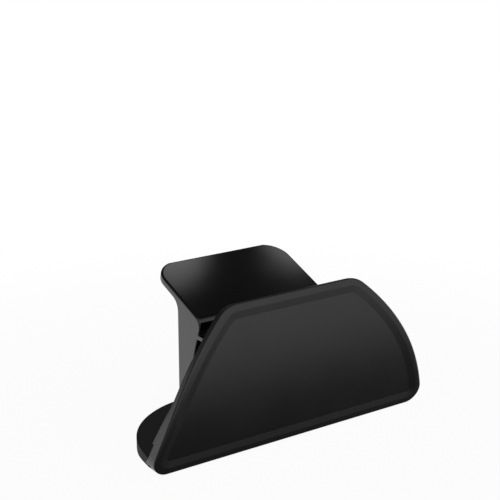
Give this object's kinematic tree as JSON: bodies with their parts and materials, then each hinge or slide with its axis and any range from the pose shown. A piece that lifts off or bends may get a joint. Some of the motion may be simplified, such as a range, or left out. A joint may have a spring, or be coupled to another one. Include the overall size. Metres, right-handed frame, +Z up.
{
  "type": "game controller stand",
  "caption": "Desk stand with a bowed front panel on a low base and a cradle with a sloping rest behind it.",
  "frame": {"origin": "on the surface the stand rests on, under the middle of its box", "axes": "+Z up, +X along the width, and the panel faces -Y"},
  "size_m": [0.1198, 0.0563, 0.0578],
  "materials": {
    "shell": "fine satin grain, black",
    "cradle": "smooth satin, black",
    "screws": "plain zinc",
    "pads": "matt"
  },
  "bodies": {
    "root": {"shell": "shell", "cradle": "cradle", "cradle_screws": "screws", "foot_pads": "pads"}
  },
  "joints": []
}
